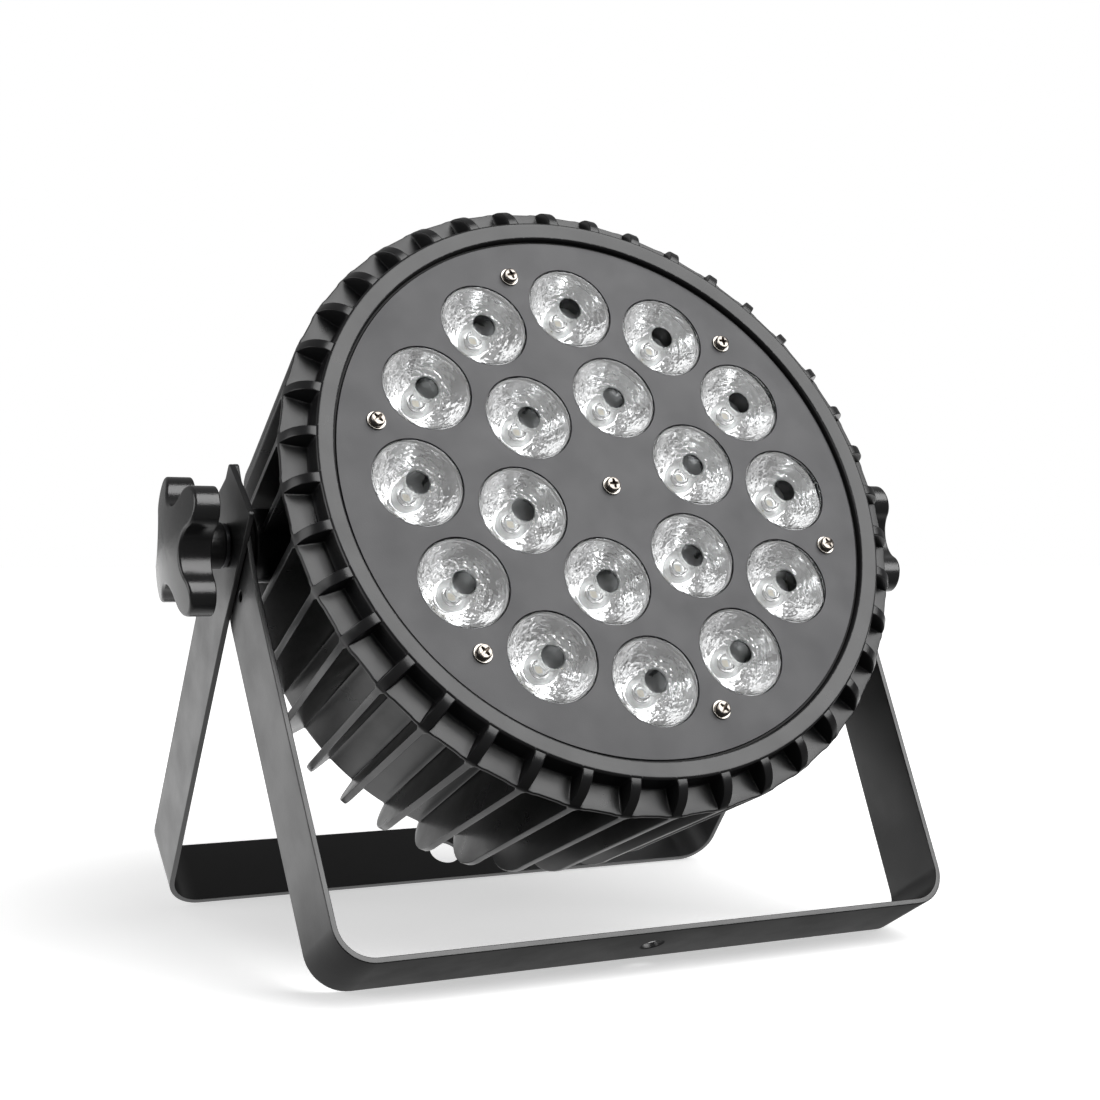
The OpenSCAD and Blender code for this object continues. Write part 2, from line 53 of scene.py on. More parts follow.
# head, whose z runs out of the lamp from the front plate's face; depths and backs run inwards
PIVOT_DEPTH = 51
PLATE_R = 103.4
PLATE_T = 1.5
LIP_R = 104.5
BEZEL_R = 111.2
BEZEL_H = 2.7
FLANGE_R = 121.4
FLANGE_FRONT = 6.36
FLANGE_BACK = 8.3
BODY_R = 97
INNER_R = 94
BODY_DEPTH = 116
SEAT = -1.6  # what the plate lies on
FLOOR_FRONT = -23.2
FLOOR_BACK = -29
BOARD_TOP = -21.5  # face of the LED board
RIBS = 40
RIB_FRONT_R = 121.45
RIB_BACK_R = 114.6
RIB_STRAIGHT = 89
RIB_DEPTH = 119
RIB_FOOT = 3.3
RIB_TIP = 2.7
RIB_FOOT_MORE = 0.8  # what is added to both from the flange on
RIB_TIP_MORE = 1.1
RIB_BLEND = 2.4
RIB_EDGE = 0.45
RIB_FILLET = 0.7

# lenses and face screws
OUTER_LENSES = [30 * k for k in range(12)]
INNER_LENSES = [15 + 60 * k for k in range(6)]
OUTER_RING_R = 75
INNER_RING_R = 38.5
LENS_R = 16.55
LENS_H = 20.2
LENS_END_R = 5.4
LENS_RIM_H = 2.5
LENS_CURVE = 0.75
LENS_ROWS = 54
PEBBLE = 2.0
PEBBLE_SWELL = 0.5
PEBBLE_FROM = 6  # the pebbles deepen below this, to their full depth at twice it
WELL_R = 4.3
WELL_H = 8
SCREW_ANGLES = [45 + 60 * k for k in range(6)]
SCREW_RING_R = 89.6
SCREW_R = 1.5

# yokes
STRIP_W = 30
STRIP_T = 2
LEG_TOP = 25
PAD_BELOW = 25
BEND_R = 14
BEND_STEPS = 14

# pivot hardware, with heights out from the lamp's middle
BOSS_R = 13
BOSS_FOOT = 95.5
BOSS_BORE = 101
BOSS_X = 121.4
STUD_R = 4
STUD_START = 102
STUD_END = 141
THREAD_START = 121
THREAD_PITCH = 1.15
THREAD_TURNS = 17
PAD_R = 12.5
PAD_SPAN = (121.5, 123.7)
WASHER_R = 7.8
WASHER_SPAN = (128.6, 130.2)
KNOB_X = 130.3

# knobs, with heights above KNOB_X
KNOB_R = 28.5
LOBES = 4
LOBE_R = 7.3
HOLLOW_DEEP = 13.8  # from the axis to the bottom of a hollow
STAR_LOW = 7
STAR_HIGH = 15.8
DOME_H = 3.7
NECK_R = 8.2
KNOB_BORE = 13

# studio: rays that pass a lens see this share of the white that the camera sees
FLOOR_GLEAM = 0.6
WALL_GLEAM = 0.12
FLOOR_SIZE = 12
LAMP_MIDDLE = Vector((0, 0, 0.14))
EYE_FROM_PIVOT = Vector((-0.3094, -0.6011, 0.0057))


# ------------------------------------------------------------------ frames
def axes_frame(x, y, z, origin):
    """A matrix with these axes, from a piece's frame in millimetres to the shared one in metres."""
    turn = Matrix((x, y, z)).transposed().to_4x4()
    return Matrix.Translation(origin) @ turn @ Matrix.Scale(MM, 4)


RIGHT = Vector((1, 0, 0))
BEAM = Vector(JOINTS["menu_press_1"]["axis"]).normalized()
HEAD = axes_frame(RIGHT, BEAM.cross(RIGHT), BEAM, PIVOT + BEAM * PIVOT_DEPTH * MM)


def yoke_frame(mount):
    """A yoke's frame: x along the pivot, z up its legs, from its bar mount's axis."""
    up = -Vector(MOUNTS[mount]["axis"]).normalized()
    return axes_frame(RIGHT, up.cross(RIGHT), up, PIVOT)


def side_frame(side):
    """Pivot hardware's frame: z points out of the lamp on that side."""
    return axes_frame(Vector((0, 0, -side)), Vector((0, 1, 0)), Vector((side, 0, 0)), PIVOT)


def side_word(side):
    return "left" if side < 0 else "right"


def polar(radius, degrees, z=0.0):
    a = math.radians(degrees)
    return Vector((radius * math.cos(a), radius * math.sin(a), z))


# ------------------------------------------------------------------ outlines
def circle(radius, steps=72, centre=(0, 0)):
    return [Vector((centre[0] + radius * math.cos(math.tau * i / steps),
                    centre[1] + radius * math.sin(math.tau * i / steps))) for i in range(steps)]


def arc(centre, radius, start, end, steps):
    """Points round a centre, from one angle in degrees to another, both included."""
    points = []
    for k in range(steps + 1):
        turned = polar(radius, start + (end - start) * k / steps)
        points.append((centre[0] + turned.x, centre[1] + turned.y))
    return points


def corners(w, h):
    """The corners of a rectangle about the origin, counter-clockwise from the lower left."""
    return [Vector((x * w / 2, y * h / 2)) for x, y in ((-1, -1), (1, -1), (1, 1), (-1, 1))]


def rectangle(w, h, radius, centre=(0, 0), steps=5):
    """A rectangle with rounded corners."""
    out = []
    for k, corner in enumerate(corners(w - 2 * radius, h - 2 * radius)):
        middle = corner + Vector(centre)
        out += arc(middle, radius, 180 + 90 * k, 270 + 90 * k, steps)
    return [Vector(p) for p in out]


def inset(loop, distance):
    """The loop moved to its left by distance, which is inwards for a counter-clockwise loop."""
    out = []
    for i, here in enumerate(loop):
        a = (here - loop[i - 1]).normalized()
        b = (loop[(i + 1) % len(loop)] - here).normalized()
        normal = Vector((-a.y - b.y, a.x + b.x))
        miter = distance / max(0.4, normal.length / 2)
        out.append(here + normal.normalized() * miter)
    return out


def rounding(edge, steps):
    """(inset, drop) rows round an edge, from the wall beside it to the face above it."""
    turns = [math.pi / 2 * k / steps for k in range(steps + 1)]
    return [(edge * (1 - math.cos(a)), edge * (1 - math.sin(a))) for a in turns]


# ------------------------------------------------------------------ mesh building
def ring(bm, points):
    return [bm.verts.new(p) for p in points]


def strip(bm, a, b):
    """Faces between two rings of vertices: quads, or a fan if one of them is a single pole."""
    count = max(len(a), len(b))
    for i in range(count):
        j = (i + 1) % count
        if len(a) == 1:
            bm.faces.new((a[0], b[j], b[i]))
        elif len(b) == 1:
            bm.faces.new((a[i], a[j], b[0]))
        else:
            bm.faces.new((a[i], a[j], b[j], b[i]))


def skin(bm, rings):
    """Faces from each ring to the next."""
    for a, b in zip(rings, rings[1:]):
        strip(bm, a, b)


def loop_edges(bm, loop):
    """The edges that join a ring's vertices."""
    return [bm.edges.get((v, loop[(i + 1) % len(loop)])) for i, v in enumerate(loop)]


def fill(bm, edges, facing=1):
    """Triangles over a flat face with holes, given all its border edges."""
    bmesh.ops.triangle_fill(bm, use_beauty=True, use_dissolve=False, edges=edges,
                            normal=(0, 0, facing))


def lathe(bm, profile, steps=72, bend=None):
    """Turns an outline of (r, z) points round z. One that starts and ends on the axis gets poles
    there, and any other is closed into a ring."""
    rings = []
    for r, z in profile:
        if r == 0:
            rings.append(ring(bm, [(0, 0, z)]))
            continue
        points = []
        for i in range(steps):
            a = math.tau * i / steps
            rr, zz = bend(r, z, a) if bend else (r, z)
            points.append((rr * math.cos(a), rr * math.sin(a), zz))
        rings.append(ring(bm, points))
    if len(rings[0]) > 1:
        rings.append(rings[0])
    skin(bm, rings)


def washer(bm, inner, outer, low, high, edge, steps, corner_steps=3):
    """A flat ring with rounded edges."""
    middle = ((outer + inner) / 2, (low + high) / 2)
    lathe(bm, rectangle(outer - inner, high - low, edge, middle, corner_steps), steps)


def slab(bm, outline, holes, low, high, edge, steps=3):
    """A flat plate between two heights with rounded edges, and holes right through it."""
    borders = {low: [], high: []}
    for loop in [outline, *(hole[::-1] for hole in holes)]:
        rows = [(d, low + drop) for d, drop in reversed(rounding(edge, steps))]
        rows += [(d, high - drop) for d, drop in rounding(edge, steps)]
        rings = [ring(bm, [(p.x, p.y, z) for p in inset(loop, d)]) for d, z in rows]
        skin(bm, rings)
        borders[low] += loop_edges(bm, rings[0])
        borders[high] += loop_edges(bm, rings[-1])
    fill(bm, borders[low], -1)
    fill(bm, borders[high])


def place(bm, start, matrix):
    """Moves every vertex from number start on."""
    for v in list(bm.verts)[start:]:
        v.co = matrix @ v.co


def smooth_mesh(name, bm, sharp, *looks, scale=MM):
    """A mesh in metres, shaded smooth but for the edges that turn more than an angle."""
    bmesh.ops.recalc_face_normals(bm, faces=bm.faces)
    mesh = bpy.data.meshes.new(name)
    bm.to_mesh(mesh)
    bm.free()
    mesh.transform(Matrix.Scale(scale, 4))
    mesh.shade_smooth()
    mesh.set_sharp_from_angle(angle=math.radians(sharp))
    for look in looks:
        mesh.materials.append(look)
    return mesh


def new_object(name, data):
    made = bpy.data.objects.new(name, data)
    bpy.context.scene.collection.objects.link(made)
    return made


def hand_over(piece, body, node):
    """Says which body a piece rides, and hides the CAD node that it stands for."""
    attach(piece, body)
    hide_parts(node)


def finish_piece(name, bm, matrix, body, node, look, sharp=35):
    """Makes a drawing in millimetres into a piece that is placed by a frame's matrix."""
    piece = new_object(name, smooth_mesh(name, bm, sharp, look))
    piece.matrix_world = matrix @ Matrix.Scale(1 / MM, 4)
    keep = piece.modifiers.new("normals", "WEIGHTED_NORMAL")
    keep.keep_sharp = True
    hand_over(piece, body, node)


# ------------------------------------------------------------------ materials
def material(name, color, roughness, metallic=0.0, **sockets):
    made = bpy.data.materials.new(name)
    made.use_nodes = True
    shader = made.node_tree.nodes["Principled BSDF"]
    shader.inputs["Base Color"].default_value = (*color, 1)
    shader.inputs["Roughness"].default_value = roughness
    shader.inputs["Metallic"].default_value = metallic
    for key, value in sockets.items():
        shader.inputs[key.replace("_", " ")].default_value = value
    return made


def add_node(made, kind, **settings):
    """A new node. A setting goes to the input of that name, or else to the node's property."""
    node = made.node_tree.nodes.new(kind)
    for key, value in settings.items():
        socket = key.replace("_", " ").title()
        if socket in node.inputs:
            node.inputs[socket].default_value = value
        else:
            setattr(node, key, value)
    return node


def link(made, source, target):
    made.node_tree.links.new(source, target)


def feed(made, source, socket):
    """Links an output to a socket of the material's main shader."""
    link(made, source, made.node_tree.nodes["Principled BSDF"].inputs[socket])


def object_place(made, stretch=(1, 1, 1)):
    """A piece's own coordinates, in metres."""
    coords = add_node(made, "ShaderNodeTexCoord")
    mapping = add_node(made, "ShaderNodeMapping")
    mapping.inputs["Scale"].default_value = stretch
    link(made, coords.outputs["Object"], mapping.inputs["Vector"])
    return mapping.outputs["Vector"]


def noise(made, vector, scale, detail=3.0, roughness=0.55):
    node = add_node(made, "ShaderNodeTexNoise", scale=scale, detail=detail, roughness=roughness)
    link(made, vector, node.inputs["Vector"])
    return node.outputs["Fac"]


def ramp(made, factor, start, end):
    """A colour or a grey carried between two stops, each a (position, tone) pair."""
    node = add_node(made, "ShaderNodeValToRGB")
    for element, (at, tone) in zip(node.color_ramp.elements, (start, end)):
        element.position = at
        element.color = (*tone, 1) if isinstance(tone, tuple) else (tone, tone, tone, 1)
    link(made, factor, node.inputs["Fac"])
    return node.outputs["Color"]


def spread(made, value, low, high, start, end):
    """A value carried from one range to another, held at the ends."""
    node = add_node(made, "ShaderNodeMapRange", from_min=low, from_max=high, to_min=start, to_max=end)
    link(made, value, node.inputs["Value"])
    return node.outputs["Result"]


def bump(made, height, distance, strength):
    node = add_node(made, "ShaderNodeBump", distance=distance, strength=strength)
    link(made, height, node.inputs["Height"])
    feed(made, node.outputs["Normal"], "Normal")


def paint(name, dark, light, roughness, grain, depth, **sockets):
    """Powder coat or cast paint: slow tone variation, fine grain, roughness in patches."""
    made = material(name, light, roughness, **sockets)
    vector = object_place(made)
    feed(made, ramp(made, noise(made, vector, 18, 5, 0.6), (0.3, dark), (0.7, light)), "Base Color")
    patches = noise(made, vector, 54, 4)
    feed(made, ramp(made, patches, (0.3, roughness - 0.05), (0.7, roughness + 0.06)), "Roughness")
    bump(made, noise(made, vector, grain, 2), depth, 0.5)
    return made


def steel(name, color, roughness, streak=(1, 1, 1)):
    """Plated steel: fine lines in its roughness and a slow change of tone."""
    made = material(name, color, roughness, 1.0)
    vector = object_place(made, streak)
    lines = noise(made, vector, 900, 4)
    feed(made, ramp(made, lines, (0.3, roughness - 0.08), (0.7, roughness + 0.1)), "Roughness")
    tone = tuple(c * 0.82 for c in color)
    feed(made, ramp(made, noise(made, vector, 260, 3), (0.3, tone), (0.7, color)), "Base Color")
    bump(made, lines, 0.00002, 0.3)
    return made


def plastic(name, color, roughness, grain=2200, depth=0.00003, **sockets):
    """Moulded plastic or rubber with a fine cellular grain."""
    made = material(name, color, roughness, **sockets)
    vector = object_place(made)
    light = tuple(min(1, c * 1.35 + 0.004) for c in color)
    feed(made, ramp(made, noise(made, vector, 60, 4), (0.3, color), (0.75, light)), "Base Color")
    cells = add_node(made, "ShaderNodeTexVoronoi", scale=grain)
    link(made, vector, cells.inputs["Vector"])
    bump(made, cells.outputs["Distance"], depth, 0.5)
    return made


def circuit(name, mask, trace):
    """Solder mask with faint copper lines under it."""
    made = material(name, mask, 0.35)
    vector = object_place(made)
    second = tuple(c * 0.9 for c in mask)
    brick = add_node(made, "ShaderNodeTexBrick", scale=110, color1=(*mask, 1), color2=(*second, 1),
                     mortar=(*trace, 1), mortar_size=0.035)
    link(made, vector, brick.inputs["Vector"])
    feed(made, brick.outputs["Color"], "Base Color")
    bump(made, noise(made, vector, 700, 3), 0.00003, 0.3)
    return made


def acrylic(name, color, grain, frost, depth, strength):
    """Clear moulded lens plastic with faint mould swirl in its roughness."""
    made = material(name, color, 0.01, IOR=1.49, Transmission_Weight=1.0)
    vector = object_place(made)
    feed(made, ramp(made, noise(made, vector, 300, 3), (0.3, 0.0), (0.8, frost)), "Roughness")
    bump(made, noise(made, vector, grain, 2), depth, strength)
    return made


CAST = paint("cast_black", (0.010, 0.010, 0.0105), (0.016, 0.016, 0.017), 0.31, 1500, 0.00003,
             Specular_IOR_Level=0.56)
COAT = paint("yoke_coat", (0.012, 0.012, 0.0125), (0.018, 0.018, 0.019), 0.34, 1100, 0.00004,
             Specular_IOR_Level=0.85)
FACE = paint("face_coat", (0.05, 0.0495, 0.0535), (0.058, 0.0575, 0.062), 0.44, 1700, 0.00004)
REAR = paint("rear_coat", (0.022, 0.022, 0.023), (0.03, 0.03, 0.031), 0.5, 1500, 0.00005)
NICKEL = steel("nickel", (0.34, 0.31, 0.28), 0.2)
RING = steel("ring_nickel", (0.5, 0.47, 0.43), 0.18)
DARK_ZINC = steel("dark_zinc", (0.1, 0.1, 0.105), 0.35)
ZINC = steel("zinc", (0.62, 0.63, 0.65), 0.3)
KNOB = plastic("knob_plastic", (0.012, 0.012, 0.0125), 0.24, Specular_IOR_Level=0.8)
BLACK = plastic("black_plastic", (0.014, 0.014, 0.015), 0.45)
BUTTON = plastic("button_plastic", (0.03, 0.03, 0.032), 0.4)
RUBBER = plastic("seal_rubber", (0.008, 0.008, 0.008), 0.75, 900, 0.00006)
LENS = acrylic("clear_acrylic", (0.97, 0.98, 0.985), 220, 0.035, 0.00006, 0.25)
# the wells' acrylic is tinted grey: painted shade that makes the clear lens wells read dark; its frost and bumps
# are texture
WELL = acrylic("well_acrylic_painted_shade", (0.3, 0.3, 0.31), 1100, 0.12, 0.0002, 0.7)
MASK = circuit("white_mask", (0.72, 0.73, 0.72), (0.62, 0.64, 0.63))
GREEN = circuit("green_mask", (0.012, 0.1, 0.04), (0.08, 0.2, 0.06))
PHOSPHOR = plastic("phosphor", (0.62, 0.58, 0.46), 0.3, 1500)
TIN = steel("supply_tin", (0.6, 0.61, 0.62), 0.35, (1, 12, 1))
SMOKE = plastic("smoked_window", (0.006, 0.008, 0.011), 0.08, 300, 0.00001)


# ------------------------------------------------------------------ yokes
def yoke_path(height, top_x, bar_x):
    """Outside line of one half of a yoke, from the bar's middle to a leg's top. Returns the
    line's length, a function from distance to (x, z, outward x, outward z), and the distances
    at which it bends."""
    toe = math.atan((top_x - bar_x) / (height - PAD_BELOW))
    turn = math.pi / 2 - toe
    flat = bar_x - BEND_R * math.tan(turn / 2)
    bend = BEND_R * turn
    bend_end = Vector((flat + BEND_R * math.cos(toe), -height + BEND_R - BEND_R * math.sin(toe)))
    kink = Vector((top_x, -PAD_BELOW))
    slope = (kink - bend_end).length
    kink_at = flat + bend + slope

    def at(s):
        if s <= flat:
            return s, -height, 0.0, -1.0
        if s <= flat + bend:
            a = -math.pi / 2 + (s - flat) / BEND_R
            return (flat + BEND_R * math.cos(a), -height + BEND_R + BEND_R * math.sin(a),
                    math.cos(a), math.sin(a))
        if s <= kink_at:
            p = bend_end.lerp(kink, (s - flat - bend) / slope)
            return p.x, p.y, math.cos(toe), -math.sin(toe)
        return top_x, s - kink_at - PAD_BELOW, 1.0, 0.0

    bends = [flat + bend * k / BEND_STEPS for k in range(BEND_STEPS + 1)] + [kink_at]
    return kink_at + PAD_BELOW + LEG_TOP, at, bends


def yoke(node, mount, height, top_x, bar_x, bar_hole, pin_holes):
    """A flat strip with its holes, cut like sheet metal and then bent along its path. Each pin
    hole is its distance below the pivot and its radius."""
    length, at, bends = yoke_path(height, top_x, bar_x)
    holes = [circle(bar_hole, 40)]
    for side in (-1, 1):
        holes.append(circle(STUD_R + 0.08, 40, (side * (length - LEG_TOP), 0)))
        for below, r in pin_holes:
            holes.append(circle(r, 32, (side * (length - LEG_TOP - below), 0)))
    bm = bmesh.new()
    slab(bm, rectangle(2 * length, STRIP_W, 1.6), holes, 0, STRIP_T, 0.35)
    for s in bends + [-b for b in bends]:
        bmesh.ops.bisect_plane(bm, geom=bm.verts[:] + bm.edges[:] + bm.faces[:], dist=1e-4,
                               plane_co=(s, 0, 0), plane_no=(1, 0, 0))
    for v in bm.verts:
        s, across, depth = v.co
        side = -1 if s < 0 else 1
        x, z, out_x, out_z = at(abs(s))
        v.co = (side * (x - out_x * depth), across, z - out_z * depth)
    finish_piece(f"{node}_strip", bm, yoke_frame(mount), node, node, COAT)


# ------------------------------------------------------------------ housing
def housing_rows():
    """Rows from the inside front over the outside to the inside back: the point in the hollow
    between two ribs, and the point on a rib's edge, both as (radius, z)."""
    def nose(degrees):
        """A rib's edge where it curves over to the bezel."""
        a = math.radians(degrees)
        reach = FLANGE_BACK + BEZEL_H - 0.4
        return (BEZEL_R + (RIB_FRONT_R - BEZEL_R) * math.sin(a),
                -FLANGE_BACK + reach * math.cos(a) ** 1.2)

    def side(z):
        """A rib's edge along the body."""
        t = (-z - FLANGE_BACK) / (RIB_STRAIGHT - FLANGE_BACK)
        return RIB_FRONT_R + (RIB_BACK_R - RIB_FRONT_R) * t, z

    def tail(degrees):
        """A rib's edge where it curves in at the back."""
        a = math.radians(degrees)
        return (BODY_R - 1 + (RIB_BACK_R - BODY_R + 1) * math.cos(a),
                -RIB_STRAIGHT - (RIB_DEPTH - RIB_STRAIGHT) * math.sin(a))

    inside_front = [(0, FLOOR_FRONT), (40, FLOOR_FRONT), (INNER_R - 0.6, FLOOR_FRONT),
                    (INNER_R, FLOOR_FRONT + 0.6), (INNER_R, -12), (INNER_R, SEAT - 0.2),
                    (INNER_R + 0.2, SEAT), (INNER_R + 5, SEAT), (LIP_R - 0.2, SEAT),
                    (LIP_R, SEAT + 0.2), (LIP_R, 0), *arc((LIP_R + 0.8, 1.2), 0.8, 180, 90, 3),
                    (LIP_R + 2.6, BEZEL_H - 0.44), (BEZEL_R - 2, BEZEL_H - 0.1),
                    *arc((BEZEL_R - 1, BEZEL_H - 1), 1, 90, 30, 2)]
    rows = [(p, p) for p in inside_front]

    hollow = [(BEZEL_R, BEZEL_H - 1), (BEZEL_R + 0.02, 0.6), (BEZEL_R + 0.06, -2),
              (BEZEL_R + 0.1, -5.2), (BEZEL_R + 0.3, -5.95), (BEZEL_R + 0.9, -FLANGE_FRONT + 0.06),
              (BEZEL_R + 3.8, -FLANGE_FRONT), (FLANGE_R - 3, -FLANGE_FRONT - 0.06),
              *arc((FLANGE_R - 0.5, -FLANGE_FRONT - 0.64), 0.5, 90, 0, 2),
              *arc((FLANGE_R - 0.5, -FLANGE_BACK + 0.5), 0.5, 0, -90, 2),
              (BEZEL_R - 1.2, -FLANGE_BACK - 0.3), (BODY_R + 1.8, -FLANGE_BACK - 0.6),
              (BODY_R + 0.6, -FLANGE_BACK - 0.9), (BODY_R + 0.1, -FLANGE_BACK - 1.5),
              (BODY_R, -FLANGE_BACK - RIB_BLEND)]
    edge = [nose(a) for a in (8, 18, 28, 38, 46, 53, 61, 69, 76, 80, 84, 87, 89)]
    edge += [side(-FLANGE_BACK - back) for back in (0.3, 0.6, 0.9, 1.2, 1.6, RIB_BLEND)]
    rows += zip(hollow, edge)
    rows += [((BODY_R, z), side(z)) for z in (-24, -40, -56, -72, -RIB_STRAIGHT + 0.1)]
    rows += [((BODY_R, tail(a)[1]), tail(a)) for a in (10, 20, 30, 40, 50, 58)]

    rim = arc((BODY_R - 0.6, -BODY_DEPTH + 0.6), 0.6, 0, -90, 2)
    rim += [(BODY_R - inwards, -BODY_DEPTH) for inwards in (0.7, 0.8, 0.9)]
    rows += zip(rim, [tail(a) for a in (64, 70, 76, 82, 87.5)] + [(BODY_R - 1, -RIB_DEPTH + 0.5)])

    inside_back = [(BODY_R - 1, -BODY_DEPTH), (INNER_R + 0.3, -BODY_DEPTH),
                   (INNER_R, -BODY_DEPTH + 0.3), (INNER_R, -90), (INNER_R, -60),
                   (INNER_R, FLOOR_BACK - 0.6), (INNER_R - 0.6, FLOOR_BACK), (40, FLOOR_BACK),
                   (0, FLOOR_BACK)]
    return rows + [(p, p) for p in inside_back]


def rib_columns(hollow, edge):
    """One row's points from the middle of a rib to the middle of the next hollow, each as
    (radius, angle, z), with the rib's edge rounded and a fillet at its foot. Ribs are wider at
    the flange and in front of it."""
    (low_r, low_z), (top_r, top_z) = hollow, edge
    half_step = 180 / RIBS
    front = min(1.0, max(0.0, (low_z + FLANGE_BACK + RIB_BLEND) / RIB_BLEND))
    foot = (RIB_FOOT + RIB_FOOT_MORE * front) / 2
    tip = (RIB_TIP + RIB_TIP_MORE * front) / 2
    height = math.hypot(top_r - low_r, top_z - low_z)
    rise, fall = min(RIB_FILLET, 0.4 * height), min(RIB_EDGE, 0.4 * height)
    up_r, up_z = ((top_r - low_r) / height, (top_z - low_z) / height) if height else (0, 0)

    rib = []
    for y, down in ((0, 0), (tip - RIB_EDGE, 0), (tip - 0.3 * RIB_EDGE, 0.3 * fall), (tip, fall)):
        rib.append((top_r - up_r * down, y, top_z - up_z * down))
    for y, up in ((foot, rise), (foot + 0.3 * rise, 0.3 * rise)):
        rib.append((low_r + up_r * up, y, low_z + up_z * up))
    columns = [(math.hypot(x, y), math.degrees(math.atan2(y, x)), z) for x, y, z in rib]
    for y in (foot + RIB_FILLET, foot + RIB_FILLET + 1.1):
        columns.append((low_r, math.degrees(math.atan2(y, low_r)), low_z))
    for share in (0.62, 0.8, 1.0):
        chord = 1.0
        if low_r > FLANGE_R - 3.4:  # the flange's rim runs straight from rib to rib
            away = math.radians(half_step * (1 - share))
            chord = math.cos(math.radians(half_step)) / math.cos(away)
        columns.append((low_r * chord, half_step * share, low_z))
    return columns


def housing():
    """One closed skin of equal sectors, each with one rib, and the two pivot bosses."""
    inner_angles = [angle for _, angle, _ in rib_columns((BODY_R, 0), (BODY_R, 0))]
    bm = bmesh.new()
    rings = []
    for hollow, edge in housing_rows():
        r, z = hollow
        if r == 0:
            rings.append(ring(bm, [(0, 0, z)]))
            continue
        columns = rib_columns(hollow, edge)
        if r < INNER_R - 1:  # too near the axis for the widths of a rib
            columns = [(r, angle, z) for angle in inner_angles]
        sector = [(radius, -angle, z) for radius, angle, z in columns[-2:0:-1]] + columns
        points = []
        for k in range(RIBS):
            points += [polar(radius, k * 360 / RIBS + angle, z) for radius, angle, z in sector]
        rings.append(ring(bm, points))
    skin(bm, rings)
    for side in (-1, 1):
        start = len(bm.verts)
        lathe(bm, [(0, BOSS_FOOT), (BOSS_R + 0.6, BOSS_FOOT), (BOSS_R, BOSS_X - 1.2),
                   (BOSS_R - 0.25, BOSS_X - 0.5), (BOSS_R - 0.8, BOSS_X), (STUD_R + 0.6, BOSS_X),
                   (STUD_R + 0.05, BOSS_X - 0.5), (STUD_R + 0.05, BOSS_BORE), (0, BOSS_BORE)], 64)
        place(bm, start, Matrix.Translation((0, 0, -PIVOT_DEPTH)) @ Matrix.Rotation(
            side * math.pi / 2, 4, "Y"))
    finish_piece("lamp_housing", bm, HEAD, "head", "housing", CAST, sharp=40)


# ------------------------------------------------------------------ face
def lens_places():
    """Each lens's node and the middle of its face."""
    places = [(f"lens_inner_{k + 1}", polar(INNER_RING_R, a)) for k, a in enumerate(INNER_LENSES)]
    places += [(f"lens_outer_{k + 1}", polar(OUTER_RING_R, a)) for k, a in enumerate(OUTER_LENSES)]
    return places


def screw_places():
    return [polar(SCREW_RING_R, a) for a in SCREW_ANGLES] + [Vector((0, 0, 0))]


def face_plate():
    """The disc in the front, with a hole for each lens and screw."""
    holes = [circle(LENS_R + 0.3, 96, (p.x, p.y)) for _, p in lens_places()]
    holes += [circle(SCREW_R + 0.2, 24, (p.x, p.y)) for p in screw_places()]
    bm = bmesh.new()
    slab(bm, circle(PLATE_R, 240), holes, -PLATE_T, 0, 0.18)
    finish_piece("face_plate", bm, HEAD, "head", "front_plate", FACE)


def face_gasket():
    """The seal between the plate's edge and the bezel's lip."""
    bm = bmesh.new()
    washer(bm, PLATE_R + 0.05, LIP_R - 0.05, -1.5, -0.5, 0.35, 240, 4)
    finish_piece("face_gasket", bm, HEAD, "head", "gasket", RUBBER)


def lens_mesh(seed):
    """A collimator: flat face with a round well, conical side moulded in uneven pebbles,
    and a cup over the emitter. Returned as a mesh in metres about the lens's own axis."""
    shift = Vector((31.7, 12.9, 5.3)) * seed

    def pebbled(r, z, a):
        if not -LENS_H + 0.6 < z < -LENS_RIM_H - 0.3 or r < LENS_END_R + 0.1:
            return r, z
        spot = Vector((r * math.cos(a), r * math.sin(a), z)) / PEBBLE + shift
        nearest = field.voronoi(spot)[0][0]
        fade = min(1.0, (z + LENS_H - 0.6) / 1.5) * min(1.0, max(0.3, -z / PEBBLE_FROM - 1))
        return r + fade * PEBBLE_SWELL * (0.35 - nearest), z

    well = [(0, -WELL_H), (WELL_R * 0.3, -WELL_H + 0.08), (WELL_R * 0.6, -WELL_H + 0.4),
            (WELL_R * 0.85, -WELL_H + 0.95), (WELL_R - 0.06, -WELL_H + 1.6), (WELL_R, -5),
            (WELL_R, -3), (WELL_R, -0.5), (WELL_R + 0.05, -0.2), (WELL_R + 0.2, -0.07),
            (WELL_R + 0.45, -0.05)]
    face = [(8, -0.05), (12, -0.05), (LENS_R - 0.35, -0.05), (LENS_R - 0.1, -0.13),
            (LENS_R, -0.35), (LENS_R, -2.2), (LENS_R - 0.15, -2.45), (LENS_R - 0.5, -2.5)]
    cone = []
    for i in range(LENS_ROWS + 1):
        share = 1 - i / LENS_ROWS
        r = LENS_END_R + (LENS_R - 0.9 - LENS_END_R) * share ** LENS_CURVE
        cone.append((r, -LENS_H + (LENS_H - LENS_RIM_H) * share))
    cup = [(LENS_END_R - 0.2, -LENS_H), (3.6, -LENS_H), (3.4, -LENS_H + 0.2), (3.25, -LENS_H + 2),
           (3.15, -LENS_H + 3.4), (2.6, -LENS_H + 4.1), (1.6, -LENS_H + 4.75), (0, -LENS_H + 5)]
    bm = bmesh.new()
    lathe(bm, well + face + cone + cup, 160, pebbled)
    # faces in the well get the grey-tinted acrylic, the painted shade
    for f in bm.faces:
        middle = f.calc_center_median()
        if middle.to_2d().length < WELL_R and middle.z > -WELL_H - 1:
            f.material_index = 1
    return smooth_mesh("lens", bm, 50, LENS, WELL)


